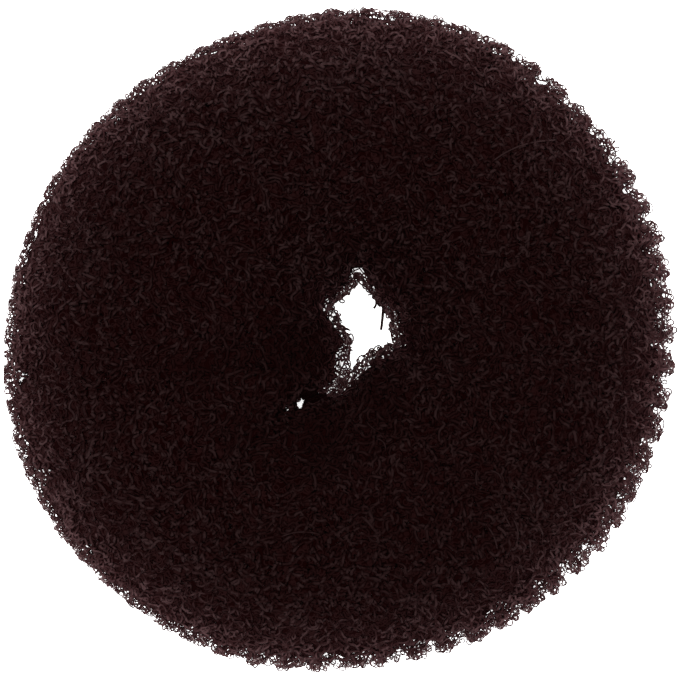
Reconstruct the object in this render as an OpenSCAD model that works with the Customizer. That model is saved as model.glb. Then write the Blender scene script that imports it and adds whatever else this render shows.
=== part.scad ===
// Hair donut bun maker: a soft ring of crinkled net, rolled up and gathered round a ponytail hole.
// It lies on a surface at z = 0, with the middle of its box over the origin.

/* [Ring] */
// Mean outer diameter of the ring, to the tips of its outer loops
ring_d = 89.5; // [70:0.5:110]
// Height of the ring as it lies
ring_h = 33.5; // [22:0.5:42]
// Width of the band underneath that the ring's own weight flattens
foot_w = 10; // [5:0.5:14]
// Height of the soft lumps left by the rolling
lump_h = 0.5; // [0:0.1:1]

/* [Ponytail hole] */
// Mean diameter of the hole where it is narrowest, without the slit beside it
hole_d = 9.6; // [7:0.1:20]
// How far the hole lies to the right of the ring's middle
hole_x = 3.2; // [-4:0.1:4]
// How far the hole lies behind the ring's middle
hole_y = 2; // [-4:0.1:4]

/* [Ribs] */
// Number of gathered ribs round the rim
rib_count = 62; // [40:1:70]
// Height of a rib from its valley to its crest, where the rim is loosest
rib_h = 1.2; // [0:0.1:2]

/* [Folds] */
// Depth of the deepest fold in the top
fold_depth = 2.6; // [0:0.1:4]
// Half the width of a fold, out to where an eighth of its depth is left
fold_w = 3; // [2:0.1:4]
// Height of the tucked end of the roll beside the slit
tuck_h = 1.6; // [0:0.1:3]

/* [Hidden] */
net_brown = [0.13, 0.08, 0.08];

ring_r = ring_d / 2;
hole_r = hole_d / 2;
hole = [hole_x, hole_y];
// Half the mean width of the ring's section
section_w = (ring_r - hole_r) / 2;
// Angle, from straight down, that the flat foot takes up in the section
foot_angle = asin(foot_w / 2 / section_w);
// Half the height that the section would have if it weren't flattened
section_h = ring_h / (1 + cos(foot_angle));

// Outline of the ring seen from above, one row every 15 degrees anticlockwise from the right.
// Columns: radius as a share of ring_r, rib height as a share of rib_h, and how far the ribs lag
// behind even spacing, as a share of a rib.
outline = [
    [1.002, 0.95, 0.33], [1.006, 1.00, 0.26], [1.010, 0.95, 0.25], [1.012, 0.80, 0.44],
    [1.021, 0.55, 0.57], [1.012, 0.40, 0.75], [0.996, 0.40, 0.89], [0.978, 0.40, 1.07],
    [0.977, 0.35, 1.13], [0.982, 0.35, 1.14], [0.990, 0.25, 1.14], [0.997, 0.25, 1.14],
    [1.006, 0.30, 1.14], [1.021, 0.35, 1.13], [1.027, 0.30, 1.12], [1.018, 0.30, 1.11],
    [1.013, 0.40, 1.11], [1.007, 0.55, 1.10], [0.988, 0.70, 0.96], [0.983, 0.80, 0.95],
    [0.993, 0.95, 0.89], [0.996, 1.00, 0.71], [1.000, 1.00, 0.46], [1.002, 0.95, 0.33]];

// The hole's wall where the hole is narrowest, anticlockwise, with the slit that the roll leaves at
// its lower left. Columns: bearing of the rim that each point faces, then how far the point lies
// to the right of and behind the hole's middle, as shares of hole_r.
wall = [
    [17, 0.79, 0.29], [50, 0.46, 0.63], [78, 0.19, 1.00], [93, -0.13, 1.46], [107, -0.33, 1.04],
    [125, -0.63, 0.75], [146, -0.96, 0.50], [162, -0.67, 0.15], [174, -0.48, -0.15],
    [182, -0.33, -0.48], [186, -0.50, -1.02], [190, -0.63, -1.75], [199, -1.29, -1.81],
    [206, -1.75, -2.10], [217, -2.31, -2.46], [230, -1.83, -2.33], [238, -1.29, -2.06],
    [245, -0.67, -1.98], [252, -0.19, -1.48], [264, 0.08, -1.04], [281, 0.27, -0.77],
    [309, 0.65, -0.63], [330, 1.02, -0.50], [345, 0.94, -0.17]];
// How far the wall's corners are rounded, in degrees of the rim
wall_rounding_angle = 2;
// The section is squarer where the slit's lips meet. Columns: bearing of the rim that this stretch
// faces, half its width in degrees, and the power that squares the section at its middle.
lips = [214, 42, 0.5];

// Folds in the top, each a straight valley between two places.
// Columns: bearing and reach of its start, bearing and reach of its end, depth as a share of
// fold_depth, width as a share of fold_w. A reach is a share of the way from the hole's middle
// to the ring's outer edge.
folds = [
    [190, 0.08, 197, 0.20, 0.62, 0.67],
    [197, 0.20, 193, 0.34, 0.58, 0.67],
    [193, 0.34, 192, 0.52, 0.27, 0.73],
    [300, 0.25, 262, 0.33, 0.46, 1.20],
    [262, 0.33, 233, 0.46, 0.92, 1.30],
    [60, 0.20, 60, 0.33, 0.38, 0.80]];
// The roll's tucked end stands a little proud between two folds.
// Columns: bearing, reach, radius as a share of section_w, height as a share of tuck_h.
tucks = [
    [214, 0.30, 0.48, 1.0],
    [262, 0.46, 0.39, 0.5],
    [70, 0.30, 0.36, 0.5]];

// Slow swells, each a wave that runs round the ring and across its section.
// Columns: waves round the ring, waves across the section, start in degrees.
swells = [[3, 1, -20], [5, -1, 200], [7, 2, 0], [2, 1, 80]];
// How much the ribs differ in height: 0 makes them all as high, 1 lets some vanish
rib_unevenness = 0.25;
// How far over the top the ribs reach: 0 stops them at the top's middle, 1 at the hole
rib_reach = 0.6;
// How far up the section the surface below presses the ribs and swells flat, as a share of section_h
pressed_reach = 0.25;

// Angles round the section, from the rim over the top to the hole and back underneath.
// They are closest together over the folds.
top_angles = [0, 20, 40, 57, 70, 80, 88, 95, 101, 107, 113, 119, 125, 131, 137, 144, 152, 162, 173];
inner_angles = [186, 200, 216, 234];
foot_angles = [270 - foot_angle, 270 + foot_angle];
outer_angles = [302, 321, 340];
section_angles = concat(top_angles, inner_angles, foot_angles, outer_angles);
rows = len(section_angles);
// Facets to each rib, which sets the number of columns round the ring
rib_facets = 3;
columns = rib_count * rib_facets;

function direction(a) = [cos(a), sin(a)];
function clamped(t) = min(1, max(0, t));
function total(list, i = 0) = i < len(list) ? list[i] + total(list, i + 1) : 0;
// A bell that is 1 at 0 and an eighth at 1
function bell(t) = exp(-2 * t * t);

// A value read from a column of the outline table, with an even curve through its rows
function outline_at(a, column) =
    let (step = 360 / len(outline), at = (a % 360) / step, i = floor(at), f = at - i,
        n = len(outline),
        p0 = outline[(i + n - 1) % n][column], p1 = outline[i % n][column],
        p2 = outline[(i + 1) % n][column], p3 = outline[(i + 2) % n][column])
    p1 + f / 2 * (p2 - p0 + f * (2 * p0 - 5 * p1 + 4 * p2 - p3 + f * (3 * (p1 - p2) + p3 - p0)));

// A point of the hole's wall, straight from each row of its table to the next
function wall_between(a) =
    let (n = len(wall), turned = (a + 360) % 360, at = turned < wall[0][0] ? turned + 360 : turned,
        i = max([for (k = [0:n - 1]) if (wall[k][0] <= at) k]),
        before = wall[i], after = wall[(i + 1) % n],
        f = (at - before[0]) / ((after[0] - before[0] + 360) % 360))
    hole_r * [before[1] * (1 - f) + after[1] * f, before[2] * (1 - f) + after[2] * f];
// The same, with its corners rounded
function wall_at(a) =
    (wall_between(a - wall_rounding_angle) + 2 * wall_between(a)
        + wall_between(a + wall_rounding_angle)) / 4;

// A place seen from above, from its bearing and its reach between the hole's middle and the edge
function place(a, reach) =
    hole * (1 - reach) + direction(a) * ring_r * outline_at(a, 0) * reach;

// How far p is from the straight line between a and b
function apart(p, a, b) =
    let (along = clamped((p - a) * (b - a) / ((b - a) * (b - a))))
    norm(p - a - (b - a) * along);

// How far the top is pushed down by folds, and how far up by tucks, at a place seen from above
function fold_drop(p) =
    max([for (f = folds) let (d = apart(p, place(f[0], f[1]), place(f[2], f[3])))
        fold_depth * f[4] * bell(d / (fold_w * f[5]))]);
function tuck_rise(p) =
    max([for (t = tucks) let (d = norm(p - place(t[0], t[1])))
        tuck_h * t[3] * bell(d / (section_w * t[2]))]);

// Slow swells round the ring and across its section
function lump(a, turn) =
    lump_h / len(swells) * total([for (w = swells) sin(w[0] * a + w[1] * turn + w[2])]);

// Gathered ribs, uneven in place and height, strongest at the rim
function rib(a, turn) =
    let (fade = clamped((rib_reach + cos(turn)) / (rib_reach + 1)),
        wave = rib_count * a - 360 * outline_at(a, 2))
    rib_h / 2 * outline_at(a, 1) * fade * fade * cos(wave)
        * (1 - rib_unevenness * (1 + sin(11 * a)) / 2);

// A number's size raised to a power, with its sign kept
function powered(x, power) = sign(x) * pow(abs(x), power);

// One point of the skin: a is the bearing at the rim, turn the angle round the section
function skin(a, turn) =
    let (squared = cos(turn) < 0 ? 1 - (1 - lips[2]) * bell((a - lips[0]) / lips[1]) : 1,
        up = powered(sin(turn), squared),
        out = (1 + powered(cos(turn), squared)) / 2,
        ribbed = rib(a, turn),
        circle = direction(a) * hole_r,
        inner = hole + circle + (wall_at(a) - circle) * pow(1 - out, 2),
        outer = direction(a) * (ring_r * outline_at(a, 0)),
        plan = inner * (1 - out) + outer * out + direction(a) * (ribbed * cos(turn)),
        top = clamped(sin(turn) * 2),
        raised = max(0, cos(foot_angle) + up),
        height = section_h * raised
            + (ribbed + lump(a, turn)) * sin(turn) * clamped(raised / pressed_reach)
            + top * (tuck_rise(plan) - fold_drop(plan)))
    [plan[0], plan[1], height];

function low(points, axis) = min([for (p = points) p[axis]]);
function high(points, axis) = max([for (p = points) p[axis]]);

// The two triangles between columns c and c + 1 and rows r and r + 1, split along the shorter
// diagonal so that a fold stays smooth
function patch(points, c, r) =
    let (c2 = (c + 1) % columns, r2 = (r + 1) % rows,
        p = c * rows + r, q = c * rows + r2, s = c2 * rows + r2, t = c2 * rows + r)
    norm(points[p] - points[s]) < norm(points[q] - points[t])
        ? [[p, q, s], [p, s, t]]
        : [[p, q, t], [q, s, t]];

// The skin is centred on its box and ring_h high at its highest lump. Its foot is flat.
module net_ring() {
    raw = [for (c = [0:columns - 1], turn = section_angles) skin(360 * c / columns, turn)];
    middle = [for (axis = [0, 1]) (low(raw, axis) + high(raw, axis)) / 2];
    stretch = ring_h / high(raw, 2);
    points = [for (p = raw) [p[0] - middle[0], p[1] - middle[1], p[2] * stretch]];
    faces = [for (c = [0:columns - 1], r = [0:rows - 1]) each patch(points, c, r)];
    color(net_brown) polyhedron(points, faces);
}

net_ring();
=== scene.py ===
# %% [markdown]
# # A hair donut bun maker in crinkled nylon net
#
# The real thing is a tube of coarse net, knitted from crimped nylon, rolled up on itself into a soft
# ring. Close by it is nothing but fine curly strands: little rings and hooks about a millimetre wide,
# many layers deep. A texture on a smooth donut would look like carpet, because the edge of the ring
# is where the eye checks: there the curls stand free against the light and the white floor shows
# between them. So this lesson builds the outer layers as real strands, in closed courses that run
# round the ring as the knitting does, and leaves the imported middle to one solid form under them.

import math

import bpy
import numpy as np
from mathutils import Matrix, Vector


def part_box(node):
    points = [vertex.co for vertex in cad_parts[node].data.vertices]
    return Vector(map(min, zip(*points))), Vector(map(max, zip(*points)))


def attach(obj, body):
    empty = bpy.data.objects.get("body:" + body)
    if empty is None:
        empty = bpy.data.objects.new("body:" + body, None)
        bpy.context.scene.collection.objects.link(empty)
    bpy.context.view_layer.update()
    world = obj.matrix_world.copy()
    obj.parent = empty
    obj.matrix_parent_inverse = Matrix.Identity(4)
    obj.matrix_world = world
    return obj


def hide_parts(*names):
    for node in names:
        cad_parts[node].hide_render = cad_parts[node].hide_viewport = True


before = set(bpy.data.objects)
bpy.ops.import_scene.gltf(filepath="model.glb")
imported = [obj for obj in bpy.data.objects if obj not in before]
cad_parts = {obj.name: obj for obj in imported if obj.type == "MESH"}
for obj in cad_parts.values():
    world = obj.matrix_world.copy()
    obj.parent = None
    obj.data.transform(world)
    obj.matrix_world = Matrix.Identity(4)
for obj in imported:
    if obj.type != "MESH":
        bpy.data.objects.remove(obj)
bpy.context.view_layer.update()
low, high = (np.array(corner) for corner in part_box("net_ring"))
MM = 0.001
ring_size = (high - low) / MM

# %% [markdown]
# ## The skin of the ring
#
# Everything follows one surface: the skin, which is where the outermost curls end. It could be
# sculpted, or read from a scan, but a rolled ring has a simple rule. Each slice through it runs from a
# point on the wall of the hole to a point on the rim, and is nearly an ellipse in between. So the skin
# is a function of two numbers, the bearing at the rim and the turn round the slice. The rim's outline
# and the hole's wall are short tables, and everything between them is worked out.

# %% The rim's outline and the hole's wall
# The outline's box is this many mean diameters wide
BOX_WIDTH = 1.0109
MEAN_RADIUS = ring_size[0] / 2 / BOX_WIDTH
HEIGHT = ring_size[2]
# In mm: the width of the band that the ring's own weight flattens, and the hole's middle and mean
# radius where it is narrowest
FOOT_WIDTH = 10.0
HOLE_MIDDLE = np.array([3.2, 2.0])
HOLE_RADIUS = 4.8

# One row every 15 degrees from the right. Columns: radius as a share of the mean; how loose the rim
# is, from 0 to 1, which sets how high the ribs are, how big the curls and how far they stand out; and
# how far the ribs lag behind even spacing, as a share of a rib
RIM = np.array([
    [1.002, 0.95, 0.33], [1.006, 1.00, 0.26], [1.010, 0.95, 0.25], [1.012, 0.80, 0.44],
    [1.021, 0.55, 0.57], [1.012, 0.40, 0.75], [0.996, 0.40, 0.89], [0.978, 0.40, 1.07],
    [0.977, 0.35, 1.13], [0.982, 0.35, 1.14], [0.990, 0.25, 1.14], [0.997, 0.25, 1.14],
    [1.006, 0.30, 1.14], [1.021, 0.35, 1.13], [1.027, 0.30, 1.12], [1.018, 0.30, 1.11],
    [1.013, 0.40, 1.11], [1.007, 0.55, 1.10], [0.988, 0.70, 0.96], [0.983, 0.80, 0.95],
    [0.993, 0.95, 0.89], [0.996, 1.00, 0.71], [1.000, 1.00, 0.46], [1.002, 0.95, 0.33]])

# The wall of the hole, anticlockwise, with the long slit at its lower left that the roll leaves.
# Columns: bearing at the rim in degrees, then x and y from the hole's middle as shares of its radius
WALL = np.array([
    [17, 0.79, 0.29], [50, 0.46, 0.63], [78, 0.19, 1.00], [93, -0.13, 1.46], [107, -0.33, 1.04],
    [125, -0.63, 0.75], [146, -0.96, 0.50], [162, -0.67, 0.15], [174, -0.48, -0.15],
    [182, -0.33, -0.48], [186, -0.50, -1.02], [190, -0.63, -1.75], [199, -1.29, -1.81],
    [206, -1.75, -2.10], [217, -2.31, -2.46], [230, -1.83, -2.33], [238, -1.29, -2.06],
    [245, -0.67, -1.98], [252, -0.19, -1.48], [264, 0.08, -1.04], [281, 0.27, -0.77],
    [309, 0.65, -0.63], [330, 1.02, -0.50], [345, 0.94, -0.17]])
# How far the wall's corners are rounded, in degrees of bearing
WALL_ROUNDING = 2.0
print("ring's mean radius, mm:", MEAN_RADIUS.round(2), "rows:", len(RIM), "and", len(WALL))


# %% Reading the two tables
def rim_table(bearing, column):
    """A column of RIM at any bearing, on the curve of cubics through its rows (Catmull-Rom)."""
    step = 360 / len(RIM)
    row = np.floor(bearing / step).astype(int)
    f = bearing / step - row
    p0, p1, p2, p3 = (RIM[(row + k) % len(RIM), column] for k in (-1, 0, 1, 2))
    return p1 + f / 2 * (p2 - p0 + f * (2 * p0 - 5 * p1 + 4 * p2 - p3 + f * (3 * (p1 - p2) + p3 - p0)))


def wall_at(bearing):
    """The hole's wall, in mm from its middle: straight from row to row, with the corners rounded."""
    rows = np.vstack([WALL[-1:] - [360, 0, 0], WALL, WALL[:1] + [360, 0, 0]])

    def between(b):
        return np.stack([np.interp(b % 360, rows[:, 0], rows[:, k]) for k in (1, 2)], -1)

    beside = between(bearing - WALL_ROUNDING) + between(bearing + WALL_ROUNDING)
    return HOLE_RADIUS * (beside + 2 * between(bearing)) / 4


# %% Bells, bearings and arrows
# Shorter than any arrow here, so that nothing is divided by 0
TINY = 1e-9


def bell(distance):
    """1 at 0 and an eighth at 1: exp(-2 d^2)."""
    return np.exp(-2 * distance**2)


def direction(bearing):
    """Arrows of length 1 on the plan, along bearings in degrees: (cos, sin)."""
    angle = np.radians(bearing)
    return np.stack([np.cos(angle), np.sin(angle)], -1)


def level(arrows):
    """Arrows on the plan with a height of 0 added."""
    return np.column_stack([arrows, np.zeros(len(arrows))])


def upright(count):
    """So many arrows of length 1 that point straight up."""
    return np.tile([0, 0, 1.0], (count, 1))


def unit(arrows):
    """The same arrows with length 1: each divided by its length."""
    return arrows / np.maximum(np.linalg.norm(arrows, axis=-1, keepdims=True), TINY)


def turned_apart(bearing, middle):
    """How many degrees a bearing lies from another, the short way round."""
    return np.abs((bearing - middle + 180) % 360 - 180)


# %% [markdown]
# ## Folds, swells and ribs
#
# The roll leaves marks on the ring: a crease that runs left from the hole, a deep valley under the
# slit, a groove at the upper right and the tucked end of the roll, which stands proud. Each is a bell
# across a straight line on the plan, so a fold is one row of a table. The gathers at the rim are
# lumps with a narrow notch between each two. Their spacing and height wander, because even teeth
# would look like a gear.

# %% The marks of the roll
# Folds. Columns: bearing and reach of the start, bearing and reach of the end, depth and half width
# in mm. A reach is a share of the way from the hole's middle to the rim.
FOLDS = np.array([
    [190, 0.08, 197, 0.20, 1.6, 2.0],
    [197, 0.20, 193, 0.34, 1.5, 2.0],
    [193, 0.34, 192, 0.52, 0.7, 2.2],
    [300, 0.25, 262, 0.33, 1.2, 3.6],
    [262, 0.33, 233, 0.46, 2.4, 3.9],
    [60, 0.20, 60, 0.33, 1.0, 2.4]])
# Tucked ends of the roll. Columns: bearing, reach, radius and height in mm
TUCKS = np.array([
    [214, 0.30, 9.5, 1.6],
    [262, 0.46, 7.8, 0.8],
    [70, 0.30, 7.2, 0.8]])
# Soft swells. Columns: waves round the ring, waves across the slice, start in degrees
SWELLS = np.array([[3, 1, -20], [5, -1, 200], [7, 2, 0], [2, 1, 80]])
SWELL_HEIGHT = 0.5

# %% The gathered ribs
RIB_COUNT = 62
# In mm, where the rim is loosest
RIB_HEIGHT = 0.95
# How much the ribs differ in height, and how often they grow and shrink on the way round the ring
RIB_UNEVENNESS, RIB_SPELLS = 0.4, 11
# How far over the top they reach: 0 is the top's middle, and 1 the hole
RIB_REACH = 0.6
# How wide a notch is, as a share of a rib, and how much higher a rib stands just after its notch than
# before the next one
NOTCH_WIDTH = 0.22
RIB_LEAN = 0.3
# How far up, as a share of half the height, the floor presses the ribs and swells flat
FLATTENED_REACH = 0.25
# The slice is squarer where the slit's lips meet: the middle of that stretch, its half width, and
# the power that the ellipse's cosine and sine are raised to there
LIPS_BEARING, LIPS_WIDTH, LIPS_POWER = 214.0, 42.0, 0.5
print(len(FOLDS), "folds,", len(TUCKS), "tucks,", len(SWELLS), "swells,", RIB_COUNT, "ribs")


# %% How far the marks lower and raise the skin
def place(bearing, reach):
    """A place on the plan from its bearing and its reach between the hole's middle and the rim."""
    radius = MEAN_RADIUS * rim_table(np.atleast_1d(bearing), 0)[0]
    return HOLE_MIDDLE * (1 - reach) + direction(bearing) * radius * reach


def fold_drop(plan):
    """How far the folds lower the top: the deepest bell at that place, in mm."""
    drop = np.zeros(plan.shape[:-1])
    for b0, r0, b1, r1, depth, width in FOLDS:
        a, b = place(b0, r0), place(b1, r1)
        along = np.clip((plan - a) @ (b - a) / ((b - a) @ (b - a)), 0, 1)[..., None]
        away = np.linalg.norm(plan - a - (b - a) * along, axis=-1)
        drop = np.maximum(drop, depth * bell(away / width))
    return drop


def tuck_rise(plan):
    """How far the tucks raise the top, in mm."""
    rise = np.zeros(plan.shape[:-1])
    for b, reach, radius, height in TUCKS:
        away = np.linalg.norm(plan - place(b, reach), axis=-1)
        rise = np.maximum(rise, height * bell(away / radius))
    return rise


def place_in_rib(bearing):
    """How many ribs a bearing in degrees lies on from a notch: whole numbers are the notches."""
    return RIB_COUNT * bearing / 360 - rim_table(bearing, 2) - 0.5


def rib_profile(bearing):
    """A rib's height between two notches: a sine that leans to one side, less a bell at each notch."""
    rib = place_in_rib(bearing)
    from_notch = np.abs((rib + 0.5) % 1 - 0.5)
    mean_notch = NOTCH_WIDTH * math.sqrt(math.pi / 2)
    return RIB_LEAN * np.sin(2 * math.pi * rib) + mean_notch - bell(from_notch / NOTCH_WIDTH)


# %% Slices of the skin
def skin_slices(bearings, turns, ribbed):
    """Points of the skin, in mm, for every bearing and every turn round the slice.

    The plan runs from the hole's wall to the rim by (1 + cos turn) / 2. What the wall departs from a
    circle fades with the square of the way out. The height is the sine of the turn, raised so that
    the slice stands on its foot, plus the swells, ribs, folds and tucks. Folds and tucks count on the
    upper side only, and fade out close above the rim and the hole's wall.
    """
    b, t = np.meshgrid(bearings, np.radians(turns), indexing="ij")
    power = 1 - (1 - LIPS_POWER) * bell(turned_apart(b, LIPS_BEARING) / LIPS_WIDTH) * (np.cos(t) < 0)
    across = np.sign(np.cos(t)) * np.abs(np.cos(t)) ** power
    up = np.sign(np.sin(t)) * np.abs(np.sin(t)) ** power
    out = ((1 + across) / 2)[..., None]
    rim = (direction(bearings) * (MEAN_RADIUS * rim_table(bearings, 0))[:, None])[:, None]
    circle = direction(bearings) * HOLE_RADIUS
    wall = (wall_at(bearings) - circle)[:, None]
    plan = (HOLE_MIDDLE + circle[:, None] + wall * (1 - out) ** 2) * (1 - out) + rim * out
    fade = np.clip((RIB_REACH + np.cos(t)) / (RIB_REACH + 1), 0, 1) ** 2
    rib = ribbed * RIB_HEIGHT * rim_table(b, 1) * fade * rib_profile(b)
    rib *= 1 - RIB_UNEVENNESS * (1 + np.sin(np.radians(RIB_SPELLS * b))) / 2
    swell = sum(np.sin(np.radians(n * b + m * np.degrees(t) + start)) for n, m, start in SWELLS)
    swell *= SWELL_HEIGHT / len(SWELLS)
    plan += direction(b) * (rib * np.cos(t))[..., None]
    foot = math.asin(FOOT_WIDTH / (MEAN_RADIUS - HOLE_RADIUS))
    raised = np.maximum(math.cos(foot) + up, 0)
    height = HEIGHT / (1 + math.cos(foot)) * raised
    height += (rib + swell) * np.sin(t) * np.clip(raised / FLATTENED_REACH, 0, 1)
    height += np.clip(2 * np.sin(t), 0, 1) * (tuck_rise(plan) - fold_drop(plan))
    return np.concatenate([plan, height[..., None]], -1)


# %% [markdown]
# The rows of a slice would crowd together at the rim and gape on the lips of the slit, so the skin is
# worked out once on a fine grid and read again at equal steps along each slice. After that, a place on
# the skin is a bearing and a share of the slice: 0 is the rim, about 0.25 the top, 0.5 the hole's wall
# and 0.75 the foot.

# %% The skin on an even grid
# How many bearings and shares of a slice the grid holds, and how many degrees apart the turns are
# that each slice is first worked out at
BEARINGS, SHARES = 1440, 480
TURN_STEP = 0.5


def evenly(points, steps):
    """Reads each closed slice again at equal steps of its own length, starting at the rim."""
    closed = np.concatenate([points, points[:, :1]], 1)
    walked = np.cumsum(np.linalg.norm(np.diff(closed, axis=1), axis=-1), 1)
    walked = np.concatenate([np.zeros((len(points), 1)), walked], 1)
    even = np.empty((len(points), steps, 3))
    for k, (way, line) in enumerate(zip(walked, closed)):
        want = np.arange(steps) / steps * way[-1]
        even[k] = np.stack([np.interp(want, way, line[:, axis]) for axis in range(3)], -1)
    return even


def skin_grid(ribbed):
    """The skin, fitted to the frame's box, and its outward normals, both (bearings, shares, 3)."""
    bearings = np.arange(BEARINGS) * 360 / BEARINGS
    raw = skin_slices(bearings, np.arange(0, 360, TURN_STEP), ribbed)
    raw[..., 2] *= HEIGHT / raw[..., 2].max()
    raw[..., 2] = np.maximum(raw[..., 2], 0)
    grid = evenly(raw, SHARES)
    round_ring = np.roll(grid, -1, 0) - np.roll(grid, 1, 0)
    round_slice = np.roll(grid, -1, 1) - np.roll(grid, 1, 1)
    return grid, unit(np.cross(round_ring, round_slice))


skin, skin_normal = skin_grid(ribbed=True)
smooth_skin, smooth_normal = skin_grid(ribbed=False)
shift = ((low + high) / 2 / MM)[:2] - (skin.max((0, 1)) + skin.min((0, 1)))[:2] / 2
skin[..., :2] += shift
smooth_skin[..., :2] += shift
slice_length = np.linalg.norm(np.diff(skin, axis=1), axis=-1).sum(1).mean()
print("skin, mm:", (skin.max((0, 1)) - skin.min((0, 1))).round(1), "shift", shift.round(2))
print("one slice, mm round:", slice_length.round(1))


# %% Reading the grid
def read_grid(grid, bearing, share):
    """A grid's value at any bearing (in turns) and share, straight between its four neighbours."""
    i, j = bearing * BEARINGS, share * SHARES
    i0, j0 = np.floor(i).astype(int), np.floor(j).astype(int)
    fi, fj = (i - i0)[..., None], (j - j0)[..., None]
    i0, i1, j0, j1 = i0 % BEARINGS, (i0 + 1) % BEARINGS, j0 % SHARES, (j0 + 1) % SHARES
    return (grid[i0, j0] * (1 - fi) * (1 - fj) + grid[i1, j0] * fi * (1 - fj)
            + grid[i0, j1] * (1 - fi) * fj + grid[i1, j1] * fi * fj)


# %% [markdown]
# ## Meshes from arrays
#
# A million corners is too many for a Python loop, so each mesh is filled straight from numpy arrays
# with foreach_set.

# %% A mesh from points and quads
def mesh_piece(name, points_mm, quads):
    """An object at the origin whose mesh holds these points, given in mm, and smooth quads."""
    mesh = bpy.data.meshes.new(name)
    mesh.vertices.add(len(points_mm))
    mesh.vertices.foreach_set("co", (points_mm * MM).astype(np.float32).ravel())
    mesh.loops.add(quads.size)
    mesh.loops.foreach_set("vertex_index", quads.astype(np.int32).ravel())
    mesh.polygons.add(len(quads))
    mesh.polygons.foreach_set("loop_start", np.arange(0, quads.size, 4, dtype=np.int32))
    mesh.polygons.foreach_set("use_smooth", np.full(len(quads), True))
    mesh.update(calc_edges=True)
    mesh.validate()
    piece = bpy.data.objects.new(name, mesh)
    bpy.context.scene.collection.objects.link(piece)
    return piece


def add_values(piece, name, values):
    """Keeps one number for each point of a piece, for its material to read."""
    layer = piece.data.attributes.new(name, "FLOAT", "POINT")
    layer.data.foreach_set("value", values.astype(np.float32))


def add_map(piece, left, bottom, width, height):
    """A flat map for the piece's quads: each one's box on the map, from its lower left corner."""
    right, top = left + width, bottom + height
    corners = [[left, bottom], [right, bottom], [right, top], [left, top]]
    corners = np.stack([np.stack(corner, -1) for corner in corners], 1)
    layer = piece.data.uv_layers.new(name="OFBake")
    layer.data.foreach_set("uv", corners.astype(np.float32).ravel())


def grid_quads(rows, columns):
    """Quads of a grid that closes on itself both ways, with the rows' index running slowest."""
    r, c = np.meshgrid(np.arange(rows), np.arange(columns), indexing="ij")
    r1, c1 = (r + 1) % rows, (c + 1) % columns
    corners = [r * columns + c, r1 * columns + c, r1 * columns + c1, r * columns + c1]
    return np.stack(corners, -1).reshape(-1, 4)


# %% [markdown]
# ## How light falls into the net
#
# Seen from above the ring isn't one even tone. Where the roll presses together, round the slit and the
# creases, the net is dense and the light dies in it, and the ring's right and lower parts lie a little
# darker too: all of that is painted shade in the colour. At the rim it is only a few strands thick, and
# the white floor shines through, so it turns paler and redder: that is painted backlight. Both are kept
# as numbers from 0 to 1 on every point, worked out from the place on the skin, and the materials read
# them.

# %% Painted shade and painted backlight
# Places of painted shade: the creases, round the slit, and the right and lower parts of the ring.
# Columns: bearing, reach, radius in mm, strength
PAINTED_SHADE_PLACES = np.array([
    [200, 0.20, 8.0, 1.00], [252, 0.31, 9.0, 1.00], [284, 0.22, 6.5, 0.85], [196, 0.36, 8.0, 0.60],
    [193, 0.46, 5.0, 0.60], [85, 0.20, 8.0, 0.30], [330, 0.14, 5.0, 0.25], [225, 0.40, 8.0, 0.60],
    [345, 0.55, 22.0, 0.30], [290, 0.66, 24.0, 0.35]])
# How far in from the outline the painted backlight of the thin net falls to a third, in mm; and the
# stretch where it reaches farther: its bearing, half its width in degrees, and how much farther as a
# share
BACKLIGHT_DEPTH = 3.5
BACKLIGHT_BEARING, BACKLIGHT_WIDTH, BACKLIGHT_SHARE = 95.0, 45.0, 0.22
print(len(PAINTED_SHADE_PLACES), "pressed places, and a thin rim about", BACKLIGHT_DEPTH, "mm wide")


def from_rim(share):
    """How far a share is from the rim, the short way round the slice."""
    return np.abs((share + 0.5) % 1 - 0.5)


def from_hole(share):
    """How far a share is past the middle of the hole's wall, which lies half way round the slice."""
    return share - 0.5


def painted_backlight(points):
    """Painted backlight: 1 at the ring's outline on the plan, and falling off inwards as an
    exponential.
    """
    plan = points[..., :2] - shift
    bearing = np.degrees(np.arctan2(plan[..., 1], plan[..., 0]))
    inside = MEAN_RADIUS * rim_table(bearing, 0) - np.linalg.norm(plan, axis=-1)
    reach = BACKLIGHT_DEPTH * (1 + BACKLIGHT_SHARE * bell(turned_apart(bearing, BACKLIGHT_BEARING) / BACKLIGHT_WIDTH))
    return np.exp(-np.maximum(inside, 0) / reach)


def painted_shade(points):
    """How much painted shade falls at places on the plan: the strongest bell of the table."""
    shaded = np.zeros(points.shape[:-1])
    for b, reach, radius, strength in PAINTED_SHADE_PLACES:
        away = np.linalg.norm(points[..., :2] - shift - place(b, reach), axis=-1)
        shaded = np.maximum(shaded, strength * bell(away / radius))
    return shaded


# %% [markdown]
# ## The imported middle
#
# Under the curls the net is packed so tightly that it reads as one dark form. It is the skin again,
# without ribs, sunk a little way in. In the slit it comes forward instead, because there the two lips
# of the roll press together and only a few pinholes of light get through.

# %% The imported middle
CORE_BEARINGS, CORE_SHARES = 400, 54
# How deep it lies under the skin, in mm: on top, at the hole, and at the rim, tight and loose
CORE_DEPTH, CORE_HOLE_DEPTH, CORE_RIM_DEPTH = 1.05, 0.4, (0.75, 1.9)
# How far from the rim and from the hole's wall the depths there count, as shares of the slice
RIM_REACH, HOLE_REACH = 0.1, 0.1
# How much deeper still the rim's pits are, tight and loose, which let specks of light through
PIT_DEPTH = (2.0, 2.6)
# A pit is where the noise is higher than the first number, and it is deepest this much above that
PIT_START, PIT_RANGE = 0.2, 1.4
# Its unevenness. Columns: waves round the ring, waves round the slice, start in radians, depth in mm
CORE_WAVES = np.array([[41, 3, 0.0, 0.16], [67, -5, 2.0, 0.12], [97, 7, 4.0, 0.10]])
# How high over the floor it stays, in mm
CORE_CLEARANCE = 0.5
print("middle's grid:", CORE_BEARINGS, "round the ring and", CORE_SHARES, "round the slice")

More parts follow.
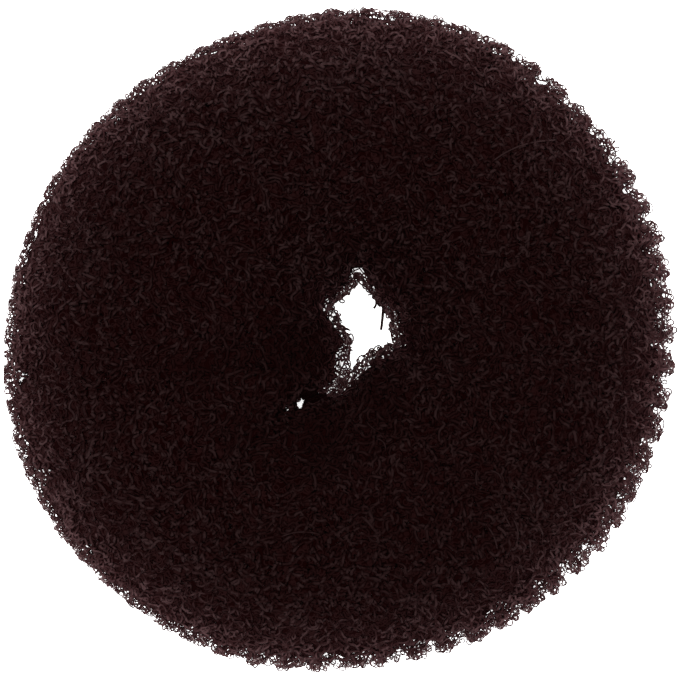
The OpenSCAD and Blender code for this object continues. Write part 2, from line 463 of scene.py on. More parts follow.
# %% The slit, its pinholes and the fringe of the hole
# The slit's lips are pressed together between two bearings, and close and open over so many degrees.
# The middle's depth there is less than 0, because it stands out of the skin, in mm.
SLIT_START, SLIT_END, SLIT_CLOSING, SLIT_OPENING = 196, 245, 3, 4
SLIT_DEPTH = -0.7
# Pinholes in the slit. Columns: bearing on a lip, half width in degrees, how open
PINHOLES = np.array([[206.5, 1.8, 1.0], [213, 1.6, 1.0], [223, 2.0, 1.0], [231.0, 2.2, 1.0]])
# How deep they are, in mm, and how far down and up the wall they reach, as shares of the slice
PINHOLE_DEPTH, PINHOLE_DOWN, PINHOLE_UP = 0.9, 0.2, 0.075
# How strongly light shows through the net on the hole's wall, painted into its colour, and how far
# over the hole's lips, as a share of the slice
HOLE_LIGHT, HOLE_LIGHT_REACH = 0.5, 0.08
# Round the hole the net ends in a fringe of loose curls. Columns: bearing, how far the fringe stands
# into the hole and how far back it reaches from there, in mm. The slit's lips have almost none.
FRINGE = np.array([
    [17, 0.4, 1.0], [50, 0.1, 0.8], [78, 0.1, 0.8], [93, 1.0, 1.5], [107, 0.5, 0.9], [125, 0.3, 0.9],
    [146, 0.5, 0.9], [162, 0.5, 1.1], [182, 0.5, 1.2], [188, 1.0, 1.7], [193, 1.2, 1.7],
    [196, 0.6, 0.8], [199, 0.0, 0.0], [241, 0.0, 0.0], [245, 0.8, 0.5], [249, 1.1, 0.8],
    [256, 1.2, 1.0], [268, 1.0, 1.0], [281, 0.5, 1.1], [309, 0.4, 1.0], [330, 0.5, 0.8],
    [345, 0.8, 0.7]])
# How far up and down the wall the fringe reaches, as a share of the slice, and how much deeper it
# lies at a pinhole, in mm
FRINGE_REACH = 0.075
FRINGE_SINK = 1.2
print(len(PINHOLES), "pinholes in the slit, fringe rows:", len(FRINGE))


# %% How far the hole's wall lies back
def fringe(bearing, column):
    """A column of FRINGE at any bearing (in turns), straight from row to row."""
    rows = np.vstack([FRINGE[-1:] - [360, 0, 0], FRINGE, FRINGE[:1] + [360, 0, 0]])
    return np.interp(bearing * 360 % 360, rows[:, 0], rows[:, column])


def pinhole(bearing):
    """How open a bearing of the slit is: the strongest bell of PINHOLES."""
    opened = np.zeros_like(bearing)
    for middle, width, openness in PINHOLES:
        opened = np.maximum(opened, openness * bell((bearing * 360 - middle) / width))
    return opened


def set_back(bearing, share):
    """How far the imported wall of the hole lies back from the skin: for the fringe, and at a pinhole.

    A pinhole reaches farther down the wall than up, so that light comes through from below.
    """
    past_hole = from_hole(share)
    for_fringe = fringe(bearing, 2) * bell(past_hole / FRINGE_REACH)
    reach = np.where(past_hole > 0, PINHOLE_DOWN, PINHOLE_UP)
    return for_fringe + PINHOLE_DEPTH * pinhole(bearing) * bell(past_hole / reach)


def slit_closed(bearing):
    """How far the lips press together: 1 in the slit, less at a pinhole, 0 elsewhere."""
    degrees = bearing * 360
    closing = np.clip((degrees - SLIT_START) / SLIT_CLOSING, 0, 1)
    opening = np.clip((SLIT_END - degrees) / SLIT_OPENING, 0, 1)
    return closing * opening * (1 - pinhole(bearing))


def painted_hole_light(share):
    """Painted light through the net: HOLE_LIGHT on the wall of the hole, falling off as a bell over its
    lips.
    """
    return HOLE_LIGHT * bell(from_hole(share) / HOLE_LIGHT_REACH)


# %% How deep the middle lies
def slow_waves(table, bearing, share):
    """A sum of waves, each a row of the table: waves round the ring and the slice, start and size."""
    return sum(size * np.sin(2 * math.pi * (n * bearing + m * share) + start)
               for n, m, start, size in table)


def pits():
    """Random pits on the middle's grid: noise over a few points, of which only the highest counts."""
    field = np.random.default_rng(3).standard_normal((CORE_BEARINGS, CORE_SHARES))
    for axis in (0, 1):
        field = (np.roll(field, 1, axis) + 2 * field + np.roll(field, -1, axis)) / 4
    return np.clip(field / field.std() - PIT_START, 0, PIT_RANGE) / PIT_RANGE


def core_depth(bearing, share):
    """How deep the middle lies under the skin, in mm: even on top, blended by bells into the rim's
    depth, which has pits, and into the hole's, plus the waves and what the hole's wall lies back."""
    at_hole = bell(from_hole(share) / HOLE_REACH)
    hole_depth = CORE_HOLE_DEPTH + (SLIT_DEPTH - CORE_HOLE_DEPTH) * slit_closed(bearing)
    loose = rim_table(bearing * 360, 1)
    pit_depth = np.interp(loose, (0, 1), PIT_DEPTH) * pits()
    rim_depth = np.interp(loose, (0, 1), CORE_RIM_DEPTH) + pit_depth
    depth = CORE_DEPTH + (rim_depth - CORE_DEPTH) * bell(from_rim(share) / RIM_REACH)
    depth += slow_waves(CORE_WAVES, bearing, share)
    return depth * (1 - at_hole) + hole_depth * at_hole + set_back(bearing, share)


# %% The middle's mesh
core_b, core_s = np.meshgrid(
    np.arange(CORE_BEARINGS) / CORE_BEARINGS, np.arange(CORE_SHARES) / CORE_SHARES, indexing="ij")
core_points = read_grid(smooth_skin, core_b, core_s)
core_points -= read_grid(smooth_normal, core_b, core_s) * core_depth(core_b, core_s)[..., None]
core_points[..., 2] = np.maximum(core_points[..., 2], CORE_CLEARANCE)
core = mesh_piece("net_middle", core_points.reshape(-1, 3), grid_quads(CORE_BEARINGS, CORE_SHARES))
# The middle's colour gets the painted backlight and the painted shade
add_values(core, "net_painted_backlight", np.maximum(painted_backlight(core_points), painted_hole_light(core_s)).ravel())
add_values(core, "net_painted_shade", painted_shade(core_points).ravel())
add_map(core, core_b.ravel(), core_s.ravel(), 1 / CORE_BEARINGS, 1 / CORE_SHARES)
print("middle:", len(core.data.polygons) * 2, "triangles")

# %% [markdown]
# ## Crimped strands
#
# A crimped strand keeps its curvature: let a pen move at a steady speed and turn at a steady rate, and
# it draws rings. Let the rate wander and change sign, and it draws the rings, hooks and waves of the
# real yarn. So the heading is the running sum of a wandering curvature, and the strand is the running
# sum of the heading. It also climbs and dives, so that strands pass over and under each other.
#
# How the curls lie matters as much. At the rim and round the hole they lie nearly level, so that from
# above they stand out there as little rings. On top of the ring they stand at every angle, and only
# the bend at the top of each catches the light: a short soft stroke with a dark pore beside it.

# %% Values that wander
rng = np.random.default_rng(20)


def smoothed(run, steps):
    """A closed run of values without whatever changes faster than about `steps` steps: each of its
    waves is worth exp(-(1.5 steps / wavelength)^2)."""
    waves = np.fft.rfftfreq(len(run)) * steps
    return np.fft.irfft(np.fft.rfft(run) * np.exp(-((waves * 1.5) ** 2)), len(run))


def wandering(count, steps):
    """A closed run of random values that change over about `steps` steps, with unit spread."""
    run = smoothed(rng.standard_normal(count), steps)
    run -= run.mean()
    return run / max(run.std(), TINY)


# %% The path of a curly strand
# How many curls long the changes of hand, of bend, of slope and of course are
HAND_CURLS, RATE_CURLS, SLOPE_CURLS, DRIFT_CURLS = 1.3, 0.8, 0.7, 2.1
# How sharply a strand changes hand, how fast it turns, where 1 draws a ring of its band's own radius,
# and how much that differs
HAND_SHARPNESS, TURN_RATE, TURN_SPREAD = 3, 1.15, 0.40


def curls(count, segments, radius, steepness):
    """The offsets, in mm, of a closed curly strand: along its course, sideways and up.

    The heading turns by about one curl's worth for every curl, to a hand that changes now and then,
    and the slope wanders, by the steepness in radians. What drifts slowly is taken out again, so the
    strand keeps its course. The radius may differ from point to point.
    """
    step = 2 * math.pi / segments
    hand = np.tanh(HAND_SHARPNESS * wandering(count, HAND_CURLS * segments))
    rate = hand * (TURN_RATE + TURN_SPREAD * wandering(count, RATE_CURLS * segments)) * step
    heading = np.cumsum(rate) + rng.uniform(0, 2 * math.pi)
    whole_turns = round(rate.sum() / (2 * math.pi))
    heading += (whole_turns * 2 * math.pi - rate.sum()) * np.arange(count) / count
    slope = steepness * wandering(count, SLOPE_CURLS * segments)
    parts = np.cos(heading) * np.cos(slope), np.sin(heading) * np.cos(slope), np.sin(slope)
    moves = [part * step * radius for part in parts]
    walks = [np.cumsum(move - move.mean()) for move in moves]
    return [walk - smoothed(walk, DRIFT_CURLS * segments) for walk in walks]


# %% Courses round the ring
# A curl at the tightest rim, as a share of one at the loosest
SMALLEST_CURL = 0.42
# How far a strand strays from its course, in mm, and how many curls long that is, along and across it
STRAY, ALONG_CURLS, ACROSS_CURLS = 0.3, 1.6, 1.3
# The courses meander together. Columns: waves round the ring, waves round the slice, start in
# radians, reach in mm
MEANDERS = np.array([[9, 3, 0.0, 0.9], [14, -4, 1.9, 0.7], [23, 5, 4.1, 0.5], [31, -7, 2.6, 0.4]])
# How far a curl's plane is twisted, in radians, and how many curls long its twist and its tilt are
TWIST, TWIST_CURLS, TILT_CURLS = 0.8, 3, 2


def looseness(bearing, share):
    """How loose the net is: what RIM says at the rim, and 1 away from it."""
    return 1 + (rim_table(bearing * 360, 1) - 1) * bell(from_rim(share) / RIM_REACH)


def curl_size(bearing, share):
    """How big a curl is, as a share of its band's measure: smaller where the rim is tight."""
    return SMALLEST_CURL + (1 - SMALLEST_CURL) * looseness(bearing, share)


def course_places(share, band):
    """Where one closed course runs: a bearing (in turns) and a share for each of its points.

    The curls are spaced by their own size, so they are counted along the course: each step of the
    skin's grid is worth its length over the pitch there.
    """
    ring = skin[:, int(share * SHARES) % SHARES]
    turns = np.arange(BEARINGS + 1) / BEARINGS
    pitch = band["pitch"] * curl_size(turns[:-1], share)
    counted = np.cumsum(np.linalg.norm(np.roll(ring, -1, 0) - ring, axis=-1) / pitch)
    counted = np.concatenate([[0], counted])
    segments = band["segments"]
    count = int(counted[-1]) * segments
    at_curl = np.arange(count) / count * counted[-1]
    at_curl += STRAY / band["pitch"] * wandering(count, ALONG_CURLS * segments)
    bearing = np.interp(at_curl % counted[-1], counted, turns)
    strayed = slow_waves(MEANDERS, bearing, share) + STRAY * wandering(count, ACROSS_CURLS * segments)
    return bearing, share + strayed * curl_size(bearing, share) / slice_length


def curl_planes(at, band):
    """The directions that a curl is drawn along, square to each other: the first two are its plane's.

    They start as the way round the ring and a level line outwards. Both are twisted about the upright,
    and the first is then tilted out of level, by angles that wander, as far as the band says. So a
    curl that stands up shows its edge, which runs outwards, as the strokes of the real net do.
    """
    count, segments = len(at), band["segments"]
    away = unit(at[:, :2] - (HOLE_MIDDLE + shift))
    outwards, round_ring = level(away), level(np.column_stack([-away[:, 1], away[:, 0]]))
    twist = TWIST * wandering(count, TWIST_CURLS * segments)[:, None]
    tilt = band["upright"] + band["tilt"] * wandering(count, TILT_CURLS * segments)[:, None]
    lying = round_ring * np.cos(twist) + outwards * np.sin(twist)
    side = outwards * np.cos(twist) - round_ring * np.sin(twist)
    along = lying * np.cos(tilt) + upright(count) * np.sin(tilt)
    return along, side, np.cross(along, side)


# %% One course
# A strand stands proud or sinks in turns: how sharp the change is, and how many curls long a turn is
SINK_SHARPNESS, SINK_CURLS = 1.3, 2
# How high a curl's highest part is, where 1 is its mean height, and over how many curls that is taken
CURL_TOP, TOP_CURLS = 1.2, 1.5


def course(share, band, across_fringe):
    """One closed course: its points, its curls' axes, and its depth and its painted backlight at each.

    The middle of a curl lies just so deep under the skin that its highest part reaches it, then
    deeper or prouder by the band's own measure. A course of the fringe lies instead at its own place
    between the fringe's edge and its back.
    """
    bearing, shares = course_places(share, band)
    count, segments, size = len(bearing), band["segments"], curl_size(bearing, shares)
    at, out = read_grid(skin, bearing, shares), unit(read_grid(skin_normal, bearing, shares))
    along, side, axis = curl_planes(at, band)
    x, y, z = curls(count, segments, band["curl"] * size, band["slope"])
    offset = along * x[:, None] + side * y[:, None] + axis * z[:, None]
    height = (offset * out).sum(-1)
    if across_fringe is None:
        sunk = 0.5 + 0.5 * np.tanh(SINK_SHARPNESS * wandering(count, SINK_CURLS * segments))
        proud = band["proud"] * looseness(bearing, shares) * (1 - sunk)
        middle = CURL_TOP * np.sqrt(np.maximum(smoothed(height**2, TOP_CURLS * segments), 0))
        middle += set_back(bearing, shares) + band["depth"] * size * sunk - proud
    else:
        into, back = fringe(bearing, 1), fringe(bearing, 2)
        middle = (into + back) * across_fringe - into + FRINGE_SINK * pinhole(bearing)
    points = at - out * middle[:, None] + offset
    points[:, 2] = np.maximum(points[:, 2], band["thick"])
    return points, axis, middle - height, np.maximum(painted_backlight(points), painted_hole_light(shares))


def strand_tube(points, axis, radius, sides):
    """A closed tube of a few sides: rings of points round each point of the path, square to it."""
    forward = unit(np.roll(points, -1, 0) - np.roll(points, 1, 0))
    side = unit(np.cross(axis, forward))
    up = np.cross(forward, side)
    angle = 2 * math.pi * np.arange(sides) / sides
    ring = side[:, None] * np.cos(angle)[:, None] + up[:, None] * np.sin(angle)[:, None]
    corner = np.arange(len(points) * sides).reshape(-1, sides)
    beside = np.roll(corner, -1, 1)
    ahead, ahead_beside = np.roll(corner, -1, 0), np.roll(beside, -1, 0)
    quads = np.stack([corner, beside, ahead_beside, ahead], -1).reshape(-1, 4)
    return (points[:, None] + ring * radius).reshape(-1, 3), quads


# %% [markdown]
# The strands go into a few pieces, one for each band of the slice, so that each mesh stays light. The
# bands differ: curls are dense and stand up on top, lie level and reach deep at the rim, and are fewer
# underneath, where the ring lies on them.

# %% The curly outer layers
# So deep in the net, in mm, a strand is painted as dark as it gets, as painted shade
DEEPEST = 1.1
# How much the tone differs, both from course to course and along each one, and how many curls long
# the change along it is
TONE_SPREAD, TONE_CURLS = 0.25, 1.3
COLUMNS = ("name", "start", "end", "apart", "pitch", "depth", "proud", "thick", "curl", "upright",
           "tilt", "slope", "segments", "sides")
# Start and end are shares of the slice; courses apart, curls apart, depth, proud, the strand's radius
# (thick) and its curls' radius are in mm; upright is how far the curls stand up from level, tilt how
# far they differ in that, and slope how steeply a strand climbs, in radians; segments are those of one
# curl, and sides those of the strand
BANDS = [dict(zip(COLUMNS, row)) for row in [
    ("net_rim_under", -0.052, 0.000, 0.92, 0.90, 1.2, 0.45, 0.100, 0.50, 0.0, 0.40, 0.60, 7, 3),
    ("net_rim_over", 0.000, 0.045, 0.88, 0.90, 1.0, 0.45, 0.100, 0.50, 0.0, 0.40, 0.60, 7, 3),
    ("net_shoulder", 0.045, 0.135, 0.93, 0.70, 0.6, 0.1, 0.17, 0.35, 1.1, 0.4, 0.30, 5, 4),
    ("net_top_outer", 0.135, 0.225, 0.93, 0.70, 0.5, 0.1, 0.24, 0.34, 1.1, 0.4, 0.35, 5, 4),
    ("net_top_inner", 0.225, 0.410, 0.93, 0.70, 0.5, 0.1, 0.24, 0.33, 0.8, 0.8, 0.70, 5, 4),
    ("net_hole_wall", 0.410, 0.600, 1.05, 0.80, 0.6, 0.1, 0.20, 0.40, 0.0, 0.8, 0.8, 6, 3),
    ("net_foot", 0.600, 0.860, 2.40, 1.60, 0.6, 0.0, 0.18, 0.50, 0.0, 0.8, 0.65, 6, 3),
    ("net_rim_lower", 0.860, 0.948, 1.80, 1.00, 1.0, 0.3, 0.12, 0.43, 0.0, 0.45, 0.65, 6, 3),
    ("net_fringe", 0.476, 0.524, 0.66, 0.60, 0.0, 0.0, 0.12, 0.30, 0.0, 0.6, 0.65, 7, 3),
]]


def band_piece(band):
    """All the courses of one band as one mesh, with the numbers that its material reads."""
    rows = int((band["end"] - band["start"]) * slice_length / band["apart"])
    sides = band["sides"]
    tubes, faces, values, first = [], [], [], 0
    for row in range(rows):
        share = band["start"] + (row + 0.5) / rows * (band["end"] - band["start"])
        across_fringe = (row + 0.5) / rows if band["name"] == "net_fringe" else None
        path, axis, depth, backlight = course(share, band, across_fringe)
        tube, quads = strand_tube(path, axis, band["thick"], sides)
        own = rng.uniform(-1, 1)
        along = wandering(len(path), TONE_CURLS * band["segments"])
        tone = 0.5 + TONE_SPREAD * own + TONE_SPREAD * along
        tubes.append(tube)
        faces.append(quads + first)
        # For each point: tone, depth for the painted shade, painted backlight and painted shade
        values.append([tone, np.clip(depth / DEEPEST, 0, 1), backlight, painted_shade(path)])
        first += len(tube)
    piece = mesh_piece(band["name"], np.concatenate(tubes), np.concatenate(faces))
    for k, name in enumerate(("strand_tone", "strand_depth", "net_painted_backlight", "net_painted_shade")):
        add_values(piece, name, np.repeat(np.concatenate([v[k] for v in values]), sides))
    quad = np.arange(first)
    lines = math.ceil(math.sqrt(first) / sides)
    in_line = math.ceil(first / sides / lines)
    ring, side = quad // sides, quad % sides
    left, bottom = ring % in_line / in_line, (ring // in_line + side / sides) / lines
    add_map(piece, left, bottom, 1 / in_line, 1 / sides / lines)
    print(band["name"], rows, "courses,", 2 * first, "triangles")
    return piece


strand_pieces = [band_piece(band) for band in BANDS]

# %% [markdown]
# ## Free ends
#
# A closed course can't show how the net ends. On the loose side of the ring each gather ends in a few
# free rings, and on its lower right the strands of each gather run together to a pointed tuft that
# leans over. Fine fuzz stands between them. These are open strands: each follows its own path, a part
# of a ring or one bend between two places, and is closed by a flat face at each end.

# %% Open strands
OPEN_SIDES = 4
# How high over the floor they stay, in mm
STRAND_CLEARANCE = 0.05


def open_strands(name, paths, axis, radius, tone, depth):
    """One piece of tubes along open paths, (strands, points, 3), each radius in mm.

    The axis of each strand is the direction that its bend turns about. Tone and depth are one number
    for each strand, as the courses keep them for each point.
    """
    strands, points = paths.shape[:2]
    forward = unit(np.gradient(paths, axis=1))
    side = unit(np.cross(axis[:, None], forward))
    up = np.cross(forward, side)
    angle = 2 * math.pi * np.arange(OPEN_SIDES)[:, None] / OPEN_SIDES
    ring = side[:, :, None] * np.cos(angle) + up[:, :, None] * np.sin(angle)
    surface = paths[:, :, None] + ring * np.reshape(radius, (-1, 1, 1, 1))
    surface[..., 2] = np.maximum(surface[..., 2], STRAND_CLEARANCE)
    corner = np.arange(surface[..., 0].size).reshape(strands, points, OPEN_SIDES)
    beside = np.roll(corner, -1, 2)
    walls = np.stack([corner[:, :-1], beside[:, :-1], beside[:, 1:], corner[:, 1:]], -1)
    quads = np.concatenate([walls.reshape(-1, 4), corner[:, 0, ::-1], corner[:, -1]])
    piece = mesh_piece(name, surface.reshape(-1, 3), quads)
    each = points * OPEN_SIDES
    add_values(piece, "strand_tone", np.repeat(tone, each))
    add_values(piece, "strand_depth", np.repeat(depth, each))
    add_values(piece, "net_painted_backlight", np.repeat(painted_backlight(paths), OPEN_SIDES))
    add_values(piece, "net_painted_shade", np.repeat(painted_shade(paths), OPEN_SIDES))
    quad = np.arange(len(quads))
    across = math.ceil(math.sqrt(len(quads)))
    add_map(piece, quad % across / across, quad // across / across, 1 / across, 1 / across)
    print(name, strands, "strands,", 2 * len(quads), "triangles")
    return piece


def one_bend(start, middle, end, points):
    """Paths with one bend, (strands, points, 3): (1 - t)^2 start + 2 t (1 - t) middle + t^2 end."""
    t = np.linspace(0, 1, points)[None, :, None]
    start, middle, end = start[:, None], middle[:, None], end[:, None]
    return (1 - t) ** 2 * start + 2 * t * (1 - t) * middle + t**2 * end


def rib_bearing(rib):
    """The bearing, in degrees, of a place in a rib: the reverse of place_in_rib."""
    degrees = np.arange(-30, 390, 0.25)
    return np.interp(rib, place_in_rib(degrees), degrees)


def beside_rim(bearing, share, out):
    """Places that stand so far out of the skin, in mm, at bearings in degrees and shares by the rim."""
    at = read_grid(skin, bearing / 360 % 1, share % 1)
    return at + level(direction(bearing)) * out[:, None]


def spread(count, least, most):
    """So many random numbers between two limits."""
    return rng.uniform(least, most, count)


# %% [markdown]
# The rings lie nearly level, so that they read as rings from above, and stick a little out of the
# crest of each gather. The tight side gets few and small ones.

# %% Free rings along the loose rim
RINGS_PER_RIB = 8
# Where their middles may lie: in a rib, as a share of it; on the slice, as a share; and out of the
# skin, in mm
RING_PLACES, RING_SHARES, RING_OUT = (0.08, 0.95), (-0.020, 0.025), (-0.35, 0.35)
# Their radius where the rim is loosest, in mm, and a share of it for where the rim is tightest
RING_RADIUS, SMALLEST_RING = (0.36, 0.55), 0.55
# How far they lean out of level, in radians, how wide they may be where 1 is round, and how far they
# climb for each radian, as a share of the radius
RING_LEAN, RING_FLATNESS, RING_CLIMB = 0.7, (0.7, 1.1), 0.04
# How far round they run, in degrees to each side of a point that differs by so many radians, in how
# many points
RING_SIDE, RING_START, RING_POINTS = (130, 200), 0.6, 14
# The radius of a strand that stands free at the rim, in mm
FREE_RADIUS = (0.085, 0.115)


def free_rings():
    """Rings and parts of rings at random places of each rib, kept by the looseness there.

    A ring is radius (first cos t + flatness second sin t + climb t axis) from its middle. Its first
    direction starts as outwards and its second as round the ring, and both lean out of level.
    """
    in_rib = spread(RIB_COUNT * RINGS_PER_RIB, *RING_PLACES)
    bearing = rib_bearing(np.repeat(np.arange(RIB_COUNT), RINGS_PER_RIB) + in_rib)
    bearing = bearing[rng.uniform(0.1, 1, len(bearing)) < rim_table(bearing, 1) ** 1.5]
    count, loose = len(bearing), rim_table(bearing, 1)
    radius = spread(count, *RING_RADIUS) * (SMALLEST_RING + (1 - SMALLEST_RING) * loose)
    middle = beside_rim(bearing, spread(count, *RING_SHARES), spread(count, *RING_OUT) * loose)
    lean = spread(count, -RING_LEAN, RING_LEAN)[:, None]
    tip = spread(count, -RING_LEAN, RING_LEAN)[:, None]
    first = level(direction(bearing)) * np.cos(lean) + upright(count) * np.sin(lean)
    second = level(direction(bearing + 90)) * np.cos(tip) + upright(count) * np.sin(tip)
    axis = np.cross(first, second)
    half_turn = np.radians(spread(count, *RING_SIDE))[:, None]
    start = spread(count, -RING_START, RING_START)[:, None]
    turn = (np.linspace(-1, 1, RING_POINTS) * half_turn + start)[..., None]
    flatness = spread(count, *RING_FLATNESS)[:, None, None]
    ring = first[:, None] * np.cos(turn) + second[:, None] * np.sin(turn) * flatness
    ring += axis[:, None] * turn * RING_CLIMB
    paths = middle[:, None] + ring * radius[:, None, None]
    return open_strands("net_rim_rings", paths, axis, spread(count, *FREE_RADIUS),
                        spread(count, 0.3, 1.0), spread(count, 0.0, 0.3))


# %% [markdown]
# A tuft is three strands from different places of the rib that end at one tip. All round the rim and
# in the hole there is fuzz as well: single filaments, finer than the yarn that they have come loose
# from. They are so thin that they let light through, so they look pale against the yarn.

# %% Tufts
# Where the tufts are most pointed, and how far round from there, in degrees
TUFTS_BEARING, TUFTS_WIDTH = 322.0, 42.0
# Where a tuft's three strands start and where they end, as shares of its rib, and how far out of the
# skin its tip stands where it is most pointed, in mm
TUFT_FEET, TUFT_TIP, TUFT_OUT = [0.22, 0.36, 0.52], 0.12, 0.85
# How pointed the least pointed tufts are, where 1 is the most; how far along towards the tip and out
# to it a strand bends, as shares; and how far out of the skin it starts, in mm
LEAST_POINTED, BEND_ALONG, BEND_OUT, TUFT_START = 0.25, 0.3, 0.4, -0.5


def tufts():
    """Three strands to each rib's tip, each with its bend nearer to its foot."""
    rib = np.repeat(np.arange(RIB_COUNT), 3).astype(float)
    count = len(rib)
    foot = rib_bearing(rib + np.tile(TUFT_FEET, RIB_COUNT) + spread(count, -0.03, 0.03))
    tip = rib_bearing(rib + TUFT_TIP + spread(count, -0.012, 0.012))
    near = bell(turned_apart(tip, TUFTS_BEARING) / TUFTS_WIDTH)
    pointed = LEAST_POINTED + (1 - LEAST_POINTED) * near
    out = TUFT_OUT * pointed * rim_table(tip, 1) * np.repeat(spread(RIB_COUNT, 0.6, 1.1), 3)
    share = np.repeat(spread(RIB_COUNT, -0.012, 0.015), 3)
    foot_share = share + spread(count, -0.008, 0.008)
    start = beside_rim(foot, foot_share, np.full(count, TUFT_START))
    between = foot * (1 - BEND_ALONG) + tip * BEND_ALONG
    bend = beside_rim(between, foot_share, out * BEND_OUT + spread(count, -0.1, 0.25))
    end = beside_rim(tip, share, out)
    return open_strands("net_tufts", one_bend(start, bend, end, 6), upright(count),
                        spread(count, *FREE_RADIUS), spread(count, 0.2, 0.9), spread(count, 0.0, 0.4))


# %% Fuzz
# How many filaments there are round the rim and in the hole, between these two bearings
RIM_FUZZ, HOLE_FUZZ = 1200, 110
HOLE_FUZZ_BEARINGS = 248, 552
# At the rim: how far inside and outside the skin the filaments run, in mm, and how far they reach
# round it to each side, in degrees. The same in the hole, where they run out to the fringe's edge.
RIM_FUZZ_OUT, RIM_FUZZ_REACH = (-0.6, 0.5), 0.9
HOLE_FUZZ_OUT, HOLE_FUZZ_REACH = -0.6, 5.0
# Between which shares of the slice they start, and their radius, in mm
RIM_FUZZ_SHARES, HOLE_FUZZ_SHARES, FUZZ_RADIUS = (-0.035, 0.04), (0.475, 0.525), (0.035, 0.055)


def beside_skin(bearing, share, out):
    """Places that stand so far out of the skin, in mm, square to it; bearings are in degrees."""
    turns, share = bearing / 360 % 1, share % 1
    return read_grid(skin, turns, share) + read_grid(skin_normal, turns, share) * out[:, None]


def fuzz():
    """Filaments strewn round the rim and in the hole, each with one bend between three near places."""
    count = RIM_FUZZ + HOLE_FUZZ
    at_hole = np.arange(count) >= RIM_FUZZ
    bearing = np.where(at_hole, spread(count, *HOLE_FUZZ_BEARINGS), spread(count, 0, 360))
    share = np.where(at_hole, spread(count, *HOLE_FUZZ_SHARES), spread(count, *RIM_FUZZ_SHARES))
    reach = np.where(at_hole, HOLE_FUZZ_REACH, RIM_FUZZ_REACH)
    least = np.where(at_hole, HOLE_FUZZ_OUT, RIM_FUZZ_OUT[0])
    most = np.where(at_hole, fringe(bearing / 360, 1), RIM_FUZZ_OUT[1])
    places = [beside_skin(bearing + spread(count, -reach, reach), share + spread(count, -0.004, 0.004),
                          spread(count, least, most)) for _ in range(3)]
    return open_strands("net_fuzz", one_bend(*places, 4), upright(count),
                        spread(count, *FUZZ_RADIUS), spread(count, 0.0, 1.0), np.zeros(count))


# %% [markdown]
# Last come the strands that the eye picks out one by one: a cut end that stands down in the hole with
# two hooks beside it, a ring at the hole's lower lip, and slack strands on top. Each is one row with
# its start, the place its bend reaches for and its end, seen from above.

# %% Single strands
# Columns: x and y of the start, of the bend and of the end, all in mm; the height, or 0 for on top of
# the net; the strand's radius
SINGLE_STRANDS = np.array([
    [6.08, 5.60, 6.05, 3.20, 5.74, 1.20, 17.5, 0.19],
    [5.06, 5.50, 5.25, 4.60, 4.73, 4.12, 17.0, 0.15],
    [5.74, 5.50, 5.60, 4.50, 6.01, 4.32, 18.0, 0.13],
    [4.50, -1.90, 5.40, 0.15, 6.30, -1.90, 17.0, 0.10],
    [20.3, 23.4, 23.8, 26.3, 28.9, 26.4, 0, 0.13],
    [-7.5, -26.1, -5.2, -25.0, -2.4, -25.8, 0, 0.13],
    [19.5, -24.5, 20.8, -26.0, 21.0, -27.8, 0, 0.13],
    [22.9, -23.5, 24.4, -25.4, 23.3, -27.9, 0, 0.13],
    [21.1, -21.5, 22.0, -23.4, 22.8, -24.9, 0, 0.13],
    [26.4, -24.7, 27.5, -25.8, 27.0, -27.2, 0, 0.13],
    [23.1, -19.3, 25.2, -20.5, 25.8, -22.5, 0, 0.13],
    [18.3, -17.4, 18.0, -18.4, 18.3, -19.3, 0, 0.13],
    [20.1, -17.4, 21.6, -17.6, 21.5, -19.0, 0, 0.13],
    [3.6, -10.8, 4.6, -12.2, 6.0, -12.6, 0, 0.12],
    [5.0, -13.2, 6.4, -13.4, 6.2, -14.9, 0, 0.12]])
# How high over the skin a slack strand lies, in mm
SLACK = 0.2


def top_height(plan):
    """How high the skin's upper side is at places on the plan: that of its nearest grid point."""
    upper = skin[::4, :SHARES // 2:3].reshape(-1, 3)
    away = np.linalg.norm(plan[..., None, :] - upper[:, :2], axis=-1)
    return upper[away.argmin(-1), 2]


def single_strands():
    """The strands of the table, raised over the net where they lie on it."""
    ends = [np.column_stack([SINGLE_STRANDS[:, k:k + 2], SINGLE_STRANDS[:, 6]]) for k in (0, 2, 4)]
    paths = one_bend(*ends, 10)
    on_top = SINGLE_STRANDS[:, 6] == 0
    paths[on_top, :, 2] = top_height(paths[on_top, :, :2]) + SLACK
    count = len(paths)
    return open_strands("net_single_strands", paths, upright(count), SINGLE_STRANDS[:, 7],
                        np.ones(count), np.zeros(count))


strand_pieces += [free_rings(), tufts(), single_strands()]
fuzz_piece = fuzz()
total = sum(len(piece.data.polygons) for piece in strand_pieces + [core, fuzz_piece]) * 2
print("all pieces:", total, "triangles")

# %% [markdown]
# ## Node groups that the finishes share
#
# The strands, the fuzz and the imported middle are the same nylon, so all take their colour from one
# node group: a dark and a light brown, mixed by how far a place stands out of the tangle, which paints
# shade on what lies deeper, patchy over a few millimetres, darker with painted shade where the net is
# pressed and paler and redder with painted backlight where it is thin. The group puts out a colour
# only, and the shader stays in each material.

# %% A small helper for node groups
def new_group(name, inputs, outputs):
    """An empty shader node group with these sockets: (name, type, default) in, (name, type) out."""
    group = bpy.data.node_groups.new(name, "ShaderNodeTree")
    for label, kind, default in inputs:
        socket = group.interface.new_socket(label, in_out="INPUT", socket_type=kind)
        if default is not None:
            socket.default_value = default
    for label, kind in outputs:
        group.interface.new_socket(label, in_out="OUTPUT", socket_type=kind)
    return group, group.nodes.new("NodeGroupInput"), group.nodes.new("NodeGroupOutput")


def value_node(tree, operation, *values, clamp=False):
    """A Math node; each value is a number or the socket that gives it. Returns its output."""
    node = tree.nodes.new("ShaderNodeMath")
    node.operation, node.use_clamp = operation, clamp
    for slot, value in zip(node.inputs, values):
        if isinstance(value, bpy.types.NodeSocket):
            tree.links.new(value, slot)
        else:
            slot.default_value = value
    return node.outputs[0]


